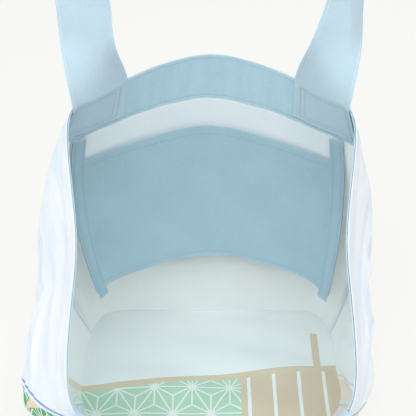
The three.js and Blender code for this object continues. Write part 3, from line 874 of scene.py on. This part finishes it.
def rising_grid(hand, rows):
    """A back strap from the rim up: it starts straight on from the wall, and eases over to the
    handle's leg by a smooth mix over its height, sooner in depth than across."""
    u, _ = strap_across("back", hand)
    rim, under = on_wall(u, 1.0, layer_middle(2)), on_wall(u, 0.96, layer_middle(2))
    lean = (rim - under) / (rim - under)[:, 2:]
    lean[:, 0] = STRAP_LEAN if hand == "right" else -STRAP_LEAN
    foot = HINGE["back"] + [0, 0, HINGE_GAP]
    z = mix(rim[:, 2], foot[2] + EASE_HEIGHT, np.linspace(0, 1, rows + 1)[1:, None])
    straight = rim + lean * (z - rim[:, 2])[..., None]
    t = np.clip(z - foot[2], 0, None) / loop_length(LEG_X["back"])
    leg = loop_points(LEG_X["back"], t if hand == "right" else 1 - t, BACK_SLACK) + foot
    share = smooth(z, rim[:, 2], foot[2] + EASE_HEIGHT)[..., None]
    point = mix(straight, leg, share)
    point[..., 1] = mix(straight[..., 1], leg[..., 1], smooth(z, rim[:, 2], foot[2] + TURN_HEIGHT))
    point[..., 2] = mix(z, leg[..., 2], share[..., 0] ** 4)
    return point


# The back handle is one strap from sewn end to sewn end.
back_ends = {hand: sewn_grid("back", hand, 36) for hand in ("right", "left")}
first = EASE_HEIGHT / loop_length(LEG_X["back"])
t = np.linspace(first, 1 - first, 180)[1:-1, None] + 0 * ACROSS
arch = loop_points(LEG_X["back"], t, BACK_SLACK) + HINGE["back"] + [0, 0, HINGE_GAP]
rising = {hand: rising_grid(hand, 50) for hand in ("right", "left")}
half_right, half_left = ([back_ends[hand], rising[hand]] for hand in ("right", "left"))
back_strap_grid = np.concatenate([*half_right, arch, *(half[::-1] for half in half_left[::-1])])
back_strap = cloth("back_strap", back_strap_grid, STRAP_THICKNESS, [STRAP_CLOTH_PAINTED_LIT], plump=0.7)


def back_hinged(piece):
    """Fabric over the back hinge, with its placing baked into its mesh."""
    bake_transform(piece)


back_hinged(back_strap)
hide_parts("back_handle", "back_right_strap_end", "back_left_strap_end")

# The front handle hangs outside: sewn ends, a fold over the hinge line, and the loop.
FRONT_THICKNESS = 0.0011
t = np.linspace(0, 1, 201)[:, None] + 0 * ACROSS
turned = loop_points(LEG_X["front"], t, FRONT_SLACK) * [1, -1, -1]
front_loop_grid = turned + HINGE["front"] + [0, -2 * FOLD_OFFSET, -HINGE_GAP]
front_loop = cloth("front_strap", front_loop_grid, FRONT_THICKNESS, [STRAP_CLOTH_PAINTED_LIT], plump=0.7)
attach(front_loop, "front_handle")
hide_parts("front_handle")


def bent_grid(hand, rows):
    """A front strap above the rim: upright, then over in a bend to its straight upper edge, where
    x and y go with the square of the height."""
    u, x = strap_across("front", hand)
    rim = on_wall(u, 1.0, layer_middle(2))
    share = np.linspace(0, 1, rows + 1)[1:, None, None]
    edge = np.stack([x, 0 * x + HINGE["front"][1], 0 * x + HINGE["front"][2] - HINGE_GAP], axis=-1)
    bent = rim + (edge - rim) * share ** 2
    bent[..., 2] = mix(rim[:, 2], edge[:, 2], share[..., 0])
    return bent


front_ends = {}
for hand, row in (("right", 0), ("left", -1)):
    front_ends[hand] = sewn_grid("front", hand, 36)
    grid = np.concatenate([front_ends[hand], bent_grid(hand, 20)])
    end = cloth("front_strap_end_" + hand, grid, FRONT_THICKNESS, [STRAP_CLOTH_PAINTED_LIT], plump=0.7)
    dress(end, "strap_cloth", "front_" + hand + "_strap_end")
    angle = np.linspace(0, np.pi, 17)[:, None]
    axis = HINGE["front"] - [0, FOLD_OFFSET, 0]
    edge = front_loop_grid[row][None] * [1, 0, 0]
    over = np.stack([0 * angle, np.cos(angle) * FOLD_OFFSET, np.sin(angle) * FOLD_OFFSET], axis=-1)
    arc = edge + axis + over - [0, 0, HINGE_GAP]
    fold = cloth("front_strap_fold_" + hand, arc, FRONT_THICKNESS, [STRAP_CLOTH_PAINTED_LIT], plump=0.7)
    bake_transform(fold)


# Stitching
def sample(grid, s, t):
    """Points of a grid at s across and t along it, from 0 to 1, by bilinear mixing."""
    rows, columns = grid.shape[0] - 1, grid.shape[1] - 1
    s, t = np.broadcast_arrays(np.asarray(s, float) * columns, np.asarray(t, float) * rows)
    i, j = np.clip(s.astype(int), 0, columns - 1), np.clip(t.astype(int), 0, rows - 1)
    a, b = (s - i)[..., None], (t - j)[..., None]
    low = mix(grid[j, i], grid[j, i + 1], a)
    return mix(low, mix(grid[j + 1, i], grid[j + 1, i + 1], a), b)


def sewn(grid, s, t, thickness, facing):
    """A row of stitches on one face of a cloth piece: facing is 1 for its outer face, -1 for its
    inner face."""
    path = sample(grid, s, t)
    normal = sample(grid_normals(grid), s, t) * facing
    return path + normal * (thickness / 2 + STITCH_LIFT), normal


def round_line(first, last, depth, off, facing):
    """A row of stitches round the bag at a depth below the rim, on one face of a layer."""
    u_from, u_to = corner_pair(first, last)
    u = np.linspace(u_from + 0.002, u_to - 0.002, 200)
    v = v_below(u, depth)
    normal = normal_of(soft_wall, u, v) * facing
    return on_wall(u, v, off) + normal * STITCH_LIFT, normal


def boxed(grid, inset, thickness):
    """A rectangle of stitches on the face of a sewn strap end that looks into the bag."""
    side, end = inset / STRAP_WIDTH, inset / STRAP_SEWN
    run = np.linspace(0, 1, 40)
    sides = [(mix(side, 1 - side, run), end), (mix(side, 1 - side, run), 1 - end),
             (side, mix(end, 1 - end, run)), (1 - side, mix(end, 1 - end, run))]
    middle = grid.shape[0] // 2, grid.shape[1] // 2
    inward = -np.sign(np.dot(grid_normals(grid)[middle][:2], grid[middle][:2]))
    return [sewn(grid, s, t, thickness, inward) for s, t in sides]


SPANS = {"back": ("left_back", "right_back"), "front": ("right_front", "left_front"),
         "right": ("right_back", "right_front"), "left": ("left_front", "left_back")}
HEM_DEPTH = {"back": FACING_HEIGHT, "front": FACING_HEIGHT, "right": SIDE_HEM_HEIGHT,
             "left": SIDE_HEM_HEIGHT}
HEM_LINE, RIM_LINE = 0.005, 0.004
lines = []
for side in ("back", "front", "left", "right"):
    for depth in (RIM_LINE, HEM_DEPTH[side] - HEM_LINE):
        lines.append(round_line(*SPANS[side], depth, -LAYER, -1))
dress(thread("facing_stitches", lines, THREAD), "blue_cloth")

lines = []
for side in SPANS:
    for depth in (RIM_LINE, HEM_DEPTH[side] - HEM_LINE):
        lines.append(round_line(*SPANS[side], depth, CLOTH, 1))
dress(thread("wall_stitches", lines, PALE_THREAD), "printed_cloth")

POCKET_HEM, POCKET_FOOT_LINE = 0.012, 0.006
TAPE_LINES = (0.14, 0.24, 0.78, 0.88)
lines = []
run = np.linspace(0.075, 0.925, 160)
lines.append(sewn(face_grid, run, 1 - POCKET_HEM / POCKET_DEPTH, CLOTH, -1))
lines.append(sewn(face_grid, run, POCKET_FOOT_LINE / POCKET_DEPTH, CLOTH, -1))
for grid in tape_grids:
    for s in TAPE_LINES:
        lines.append(sewn(grid, s, np.linspace(0.01, 0.99, 120), TAPE_THICKNESS, -1))
dress(thread("pocket_stitches", lines, THREAD), "blue_cloth")

BOX_OUTER, BOX_INNER = 0.005, 0.0085
lines = []
for ends, thickness in ((back_ends, STRAP_THICKNESS), (front_ends, FRONT_THICKNESS)):
    for grid in ends.values():
        lines += boxed(grid, BOX_OUTER, thickness) + boxed(grid, BOX_INNER, thickness)
dress(thread("strap_box_stitches", lines, THREAD), "strap_cloth")

STRAP_LINE = 0.004 / STRAP_WIDTH
run = np.linspace(0.09, 0.91, 500)
lines = [sewn(back_strap_grid, s, run, STRAP_THICKNESS, facing)
         for s in (STRAP_LINE, 1 - STRAP_LINE) for facing in (1, -1)]
back_hinged(thread("back_strap_stitches", lines, PALE_THREAD))
run = np.linspace(0.002, 0.998, 400)
lines = [sewn(front_loop_grid, s, run, FRONT_THICKNESS, facing)
         for s in (STRAP_LINE, 1 - STRAP_LINE) for facing in (1, -1)]
front_thread = thread("front_strap_stitches", lines, PALE_THREAD)
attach(front_thread, "front_handle")

# Floor, light and camera
FLOOR_REACH = 6.0
FLOOR_GLOW = 0.80
SEEN_RAYS = ("Is Camera Ray", "Is Glossy Ray", "Is Transmission Ray")


def pale_floor():
    """Matt floor that keeps a faint shadow and shows as near white to the camera."""
    finish = Finish("pale_floor", roughness=0.95, sheen=0.0)
    finish.shader.inputs["Specular IOR Level"].default_value = 0.5
    finish.done(linear(250, 250, 247))
    glow = finish.node("ShaderNodeEmission", {}, {"Color": linear(247, 247, 243)})
    path = finish.node("ShaderNodeLightPath", {}, {})
    camera, glossy, through = (Shade(finish, path.outputs[ray]) for ray in SEEN_RAYS)
    seen = camera.math("MAXIMUM", glossy).math("MAXIMUM", through)
    inputs = {0: seen * FLOOR_GLOW, 1: finish.shader.outputs[0], 2: glow.outputs[0]}
    both = finish.node("ShaderNodeMixShader", {}, inputs)
    finish.feed(finish.tree.nodes["Material Output"].inputs["Surface"], both.outputs[0])
    return finish.material


corners = np.array([[-1, -1, 0], [1, -1, 0], [1, 1, 0], [-1, 1, 0]]) * FLOOR_REACH
floor = new_piece("floor", corners, np.array([[0, 1, 2, 3]]), [pale_floor()])

world = bpy.data.worlds.new("soft_room")
bpy.context.scene.world = world
world.use_nodes = True
world.node_tree.nodes["Background"].inputs["Color"].default_value = (0.93, 0.96, 1.0, 1.0)
world.node_tree.nodes["Background"].inputs["Strength"].default_value = 0.50


def soft_lamp(name, place, target, size, power):
    """A square area lamp at a place, turned to a target."""
    data = bpy.data.lights.new(name, "AREA")
    data.shape, data.size, data.energy = "SQUARE", size, power
    lamp = bpy.data.objects.new(name, data)
    lamp.location = place
    away = np.array(place) - np.array(target)
    flat = np.hypot(away[0], away[1])
    lamp.rotation_euler = (np.arctan2(flat, away[2]), 0, np.arctan2(away[0], -away[1]))
    bpy.context.collection.objects.link(lamp)


soft_lamp("overhead_light", (0.0, -0.9, 2.0), (0, 0, 0.15), 1.8, 25.0)
soft_lamp("right_light", (1.3, -0.9, 1.6), (-0.1, 0, 0.15), 1.3, 7.5)
soft_lamp("left_light", (-1.3, -0.9, 1.6), (0.1, 0, 0.15), 1.3, 12.0)
soft_lamp("back_light", (0.3, 1.6, 1.5), (0, 0.1, 0.3), 1.4, 9.0)

PHOTO_SIDE, FOCAL_PIXELS, PITCH = 416, 950, 37.0
camera_data = bpy.data.cameras.new("photo_camera")
camera_data.sensor_width = 36.0
camera_data.lens = FOCAL_PIXELS / PHOTO_SIDE * camera_data.sensor_width
camera = bpy.data.objects.new("photo_camera", camera_data)
camera.location = (-0.0039, -0.914, 0.961)
camera.rotation_euler = (np.radians(90 - PITCH), 0, 0)
bpy.context.collection.objects.link(camera)
bpy.context.scene.camera = camera
bpy.context.scene.view_settings.view_transform = "Standard"
